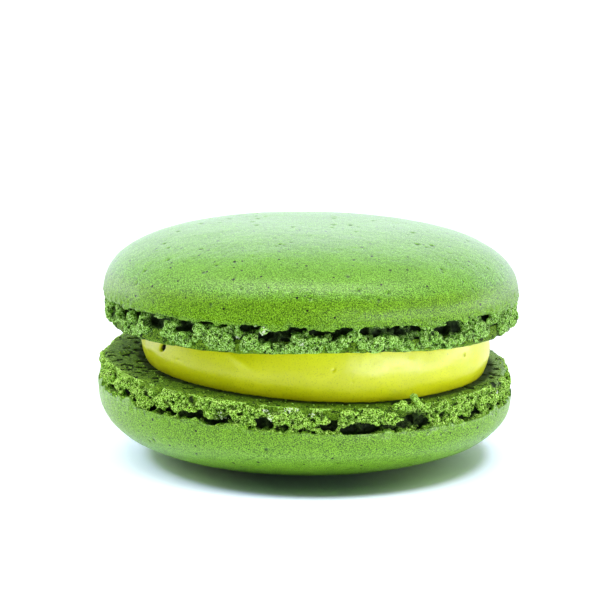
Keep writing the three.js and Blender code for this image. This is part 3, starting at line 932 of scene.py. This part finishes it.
def crumb_material(name, tone):
    """A foot's crumb: pale grains over darker dents, nearly black deep in. The lighter bumps are painted light, and
    the darker dents, gaps, pores and depths are painted shade.
    """
    s = Shader(name)
    grain = s.noise(0.15, 2, 0.8)
    clump = s.noise(0.5, 3, 0.7)
    dent = s.attribute("dent")
    s.colour = s.blend(s.noise(1.6, 3), "589210", "6cac24")
    # Painted light: bumps, where the block round a place is less solid, are made lighter.
    s.lay(dent, 0.52, 0.36, "86c636")
    s.lay(dent, 0.36, 0.22, "a4e060")
    s.lay(clump, 0.5, 0.68, "a2e05e", 0.7)
    s.lay(clump, 0.48, 0.34, "2c5610", 0.75)
    s.lay(grain, 0.52, 0.6, "d8ffa8")
    s.lay(grain, 0.48, 0.38, "122a04")
    # Painted shade: dents, the gaps between lumps and the pore dots are darkened.
    s.lay(dent, 0.55, 0.72, "1a300a", 0.85)
    s.lay(s.attribute("gap"), 0.52, 0.7, "182c0a", 0.8)
    s.speckle(0.4, 0.32, 0.2, "0e1c06", 0.9)
    s.colour = s.mix(1, s.colour, (*tone, 1), "MULTIPLY")
    # Painted shade: the crumb darkens to nearly black deep in.
    s.lay(s.attribute("depth"), 0.5, 1.3, "22321e", 0.92)
    return s.finish(Normal=s.bump(grain, 0.13), Roughness=0.8, Specular_IOR_Level=0.15)


def face_material():
    """The flat faces: olive green and leathery, with dark pits. A pale veil on the right is partly a dusting and
    partly painted sheen; the dark slits and the darkening next to the cream are painted shade.
    """
    s = Shader("meringue_face")
    grain = s.noise(0.17, 2, 0.8)
    streak = s.noise(0.5, 4, 0.65)
    # Painted sheen: this veil is paler partly as a real dusting and partly for light glancing off the face.
    dust_and_sheen = s.attribute("dust_and_sheen")
    dust_and_sheen_share = s.math("MULTIPLY", dust_and_sheen, 0.6)
    s.colour = s.blend(s.noise(2.5, 3), "4e7a08", "649010")
    s.cover(s.math("MULTIPLY", s.fade(streak, 0.5, 0.66), s.math("ADD", dust_and_sheen_share, 0.25)), "90ba30")
    s.lay(streak, 0.49, 0.38, "182c06", 0.92)
    s.lay(grain, 0.53, 0.62, "9cc640", 0.9)
    s.colour = s.mix(dust_and_sheen_share, s.colour, s.blend(grain, "86b068", "c0dcb0", 0.4, 0.6))
    s.lay(grain, 0.47, 0.37, "182c06", 0.85)
    # Painted shade: the slits, shallow dips in the face, are darkened nearly to black.
    s.lay(s.attribute("slit"), 0.02, 0.3, "0e1a08", 0.92)
    # Painted shade: the face darkens next to the cream, which shades it.
    s.lay(s.attribute("from_cream"), 0.8, 0.1, "1a2c04", 0.9)
    normal = s.bump(grain, 0.05, 0.8, s.bump(streak, 0.12, 0.9))
    return s.finish(Normal=normal, Roughness=0.85, Specular_IOR_Level=0.2)


def cream_material():
    """The cream: even bright yellow with a satin shine, and tiny pits that are darkened as painted shade."""
    s = Shader("cream")
    grain = s.noise(0.16, 2, 0.7)
    s.colour = s.blend(s.noise(4.0, 2), "eef208", "f4f814")
    s.lay(grain, 0.46, 0.32, "bcc400", 0.45)
    s.speckle(1.3, 0.08, 0.7, "8c9000", 0.5)
    # Painted shade: the pits are darkened, most in the big one.
    s.lay(s.attribute("pit"), 0.06, 0.3, "221f02")
    return s.finish(Normal=s.bump(grain, 0.015, 0.7), Roughness=0.3, Specular_IOR_Level=0.5,
                    Subsurface_Weight=0.25, Subsurface_Radius=(0.9, 0.85, 0.12), Subsurface_Scale=1.0 * MM)


def almond_material():
    s = Shader("almond")
    s.colour = s.blend(s.noise(0.1, 2), "c8dcb8", "eef4e4")
    return s.finish(Roughness=0.5)


# The floor's colour is darkened in the middle where an occlusion node finds it enclosed, which is a painted shadow,
# and an oval ring round the shadow glows, which is painted light.
FLOOR_PALE, FLOOR_PAINTED_SHADOW = (0.9, 0.955, 0.97, 1), (0.24, 0.34, 0.38, 1)
SHUT_REACH, SHUT_FULL, SHUT_NONE = 6 * MM, 3 * MM, 17 * MM
OVAL_X, OVAL_WIDE, OVAL_DEEP = 1.2, 20.5, 23.4
OVAL_GLOW, OVAL_STRENGTH = (0.72, 0.8, 1.3, 1), 0.38


def floor_material():
    s = Shader("white_floor")
    # Painted shadow: the colour darkens where the floor is enclosed, towards the middle.
    air = s.node("ShaderNodeAmbientOcclusion", {"Distance": SHUT_REACH}, samples=8).outputs["AO"]
    x = s.node("ShaderNodeSeparateXYZ", {"Vector": s.place}).outputs["X"]
    painted_shadow = s.math("MULTIPLY", s.fade(air, 1, 0), s.fade(s.math("ABSOLUTE", x), SHUT_FULL, SHUT_NONE, 1, 0))
    sizes = {"Location": (-OVAL_X / OVAL_WIDE, 0, 0), "Scale": (1 / (OVAL_WIDE * MM), 1 / (OVAL_DEEP * MM), 0)}
    oval = s.node("ShaderNodeMapping", {"Vector": s.place, **sizes}).outputs["Vector"]
    out = s.node("ShaderNodeVectorMath", {0: oval}, operation="LENGTH").outputs["Value"]
    # Painted light: an oval ring round the shadow glows.
    glow = s.math("MULTIPLY", s.fade(out, 0.915, 1.02), s.fade(out, 1.1, 1.35, OVAL_STRENGTH, 0))
    s.colour = s.mix(painted_shadow, FLOOR_PALE, FLOOR_PAINTED_SHADOW)
    return s.finish(Roughness=0.6, Emission_Color=OVAL_GLOW, Emission_Strength=glow)


# ---- Camera, floor and light ----

PICTURE = 600  # pixels along each side
FOCAL_PIXELS = 2852
SENSOR = 36
DISTANCE = 330
ELEVATION = 11.2
CAMERA_ROLL = 0.4
TARGET = (0, 0, 13.45)
TARGET_PIXEL = (308, 336)


def placed(name, data, across, up, back, place):
    """Adds a camera or lamp that looks away from `back`, at a place in millimetres."""
    made = add_object(name, data)
    matrix = Matrix.Identity(4)
    for row in range(3):
        matrix[row] = across[row], up[row], back[row], place[row] * MM
    made.matrix_world = matrix
    return made


def add_camera():
    """A long lens from a little above the floor, placed so that TARGET falls on TARGET_PIXEL."""
    up_angle = math.radians(ELEVATION)
    place = TARGET + DISTANCE * np.array([0, -math.cos(up_angle), math.sin(up_angle)])
    tilt = up_angle - math.atan((TARGET_PIXEL[1] - PICTURE / 2) / FOCAL_PIXELS)
    swing = -math.atan((TARGET_PIXEL[0] - PICTURE / 2) / FOCAL_PIXELS)
    ahead = np.array([math.sin(swing) * math.cos(tilt), math.cos(swing) * math.cos(tilt), -math.sin(tilt)])
    right = np.cross(ahead, (0, 0, 1))
    right /= np.linalg.norm(right)
    up = np.cross(right, ahead)
    roll = math.radians(CAMERA_ROLL)
    right, up = right * math.cos(roll) + up * math.sin(roll), up * math.cos(roll) - right * math.sin(roll)
    data = bpy.data.cameras.new("camera")
    data.sensor_width = SENSOR
    data.lens = FOCAL_PIXELS * SENSOR / PICTURE
    data.clip_start = 0.01
    bpy.context.scene.camera = placed("camera", data, right, up, -ahead, place)


def add_panel(name, place, size, power, colour=(1, 1, 1), diffuse=True):
    """A soft rectangular lamp that faces the macaron."""
    data = bpy.data.lights.new(name, "AREA")
    data.shape = "RECTANGLE"
    data.size, data.size_y = size[0] * MM, size[1] * MM
    data.energy, data.color = power, colour
    away = np.array(place, float) - LAMPS_FACE
    away /= np.linalg.norm(away)
    across = np.cross((0, 1, 0), away) if abs(away[2]) > 0.9 else np.cross((0, 0, 1), away)
    across /= np.linalg.norm(across)
    placed(name, data, across, np.cross(away, across), away, place).visible_diffuse = diffuse


LAMPS_FACE = (0, 0, 12)
# Lamps: (place, size across and up, watts, colour unless white, and False for one that only shines back).
LAMPS = {
    "top": ((0, -80, 466), (500, 120), 1.95, (1, 1, 0.9)),
    "back_top": ((0, 209, 423), (500, 160), 0.3),
    "high_right": ((257, 0, 394), (400, 140), 0.34),
    "high_left": ((-257, 0, 394), (400, 140), 0.45),
    "right": ((381, 0, 270), (400, 140), 0.16),
    "left": ((-381, 0, 270), (400, 140), 0.42),
    "front": ((0, -450, 109), (700, 110), 0.19, (1, 1, 0.3)),
    "front_right": ((288, -278, 22), (420, 40), 0.33),
    "front_glint": ((283, -283, 10), (460, 20), 0.95, (1, 1, 1), False),
    "low_right": ((390, 40, 24), (300, 44), 0.2),
    "right_glint": ((395, 50, 10), (300, 20), 0.22, (1, 1, 1), False),
    "low_left": ((-410, 150, 62), (300, 110), 0.2),
}
WALL_AT, WALL_HALF, WALL_HIGH = 460, 1200, 460
WALL_GLOW, WALL_STRENGTH = (1.75 / 2.3, 1.75 / 2.3, 1, 1), 2.3
AMBIENT = (0.02, 0.04, 0.04, 1)
FLOOR_HALF = 3000


def stage_plane(name, corners, material):
    mesh = bpy.data.meshes.new(name)
    mesh.from_pydata((np.array(corners, float) * MM).tolist(), [], [(0, 1, 2, 3)])
    mesh.materials.append(material)
    plane = add_object(name, mesh)


def add_stage():
    """A pale floor, a glowing white wall behind, soft lamps and a little light from all round."""
    corners = ((-1, -1), (1, -1), (1, 1), (-1, 1))
    stage_plane("floor", [(FLOOR_HALF * x, FLOOR_HALF * y, 0) for x, y in corners], floor_material())
    glow = Shader("white_wall").finish(Emission_Color=WALL_GLOW, Emission_Strength=WALL_STRENGTH)
    stage_plane("wall", [(WALL_HALF * x, WALL_AT, WALL_HIGH if z > 0 else -5) for x, z in corners], glow)
    world = bpy.data.worlds.new("studio")
    world.use_nodes = True
    world.node_tree.nodes["Background"].inputs["Color"].default_value = AMBIENT
    bpy.context.scene.world = world
    for name, lamp in LAMPS.items():
        add_panel(name, *lamp)


# ---- The biscuit ----

add_camera()
# Painted light: the lower shell's crumb tone and skin greens are lighter than the upper's, standing in for more light
# on it; the two shells are one batter.
lower_crumb = crumb_material("lower_crumb", (1.13, 1.07, 0.74))
# The crown tints, the last colours given to skin_material, are painted light.
looks = (
    (UPPER, "upper_shell", skin_material("upper_skin", "5a8a0a", "659810", "73a61c", (1.0, 1.1, 2.1), True),
     crumb_material("upper_crumb", (1, 1, 0.95))),
    (LOWER, "lower_shell", skin_material("lower_skin", "68a010", "74ae16", "84ba28", (1.05, 1.0, 1.9), False),
     lower_crumb),
)
flat = face_material()
surfaces = []
for shell, node, skin, crumb in looks:
    crumbly, surface = foot(shell)
    surfaces.append((shell, surface))
    for piece, material in ((cap(shell), skin), (crumbly, crumb), (face(shell), flat)):
        piece.data.materials.append(material)
        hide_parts(node)
layer = cream()
layer.data.materials.append(cream_material())
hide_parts("filling")
add_specks(surfaces).data.materials.append(almond_material())
add_crumbs().data.materials.append(lower_crumb)
add_stage()
bpy.context.scene.view_settings.view_transform = "Standard"
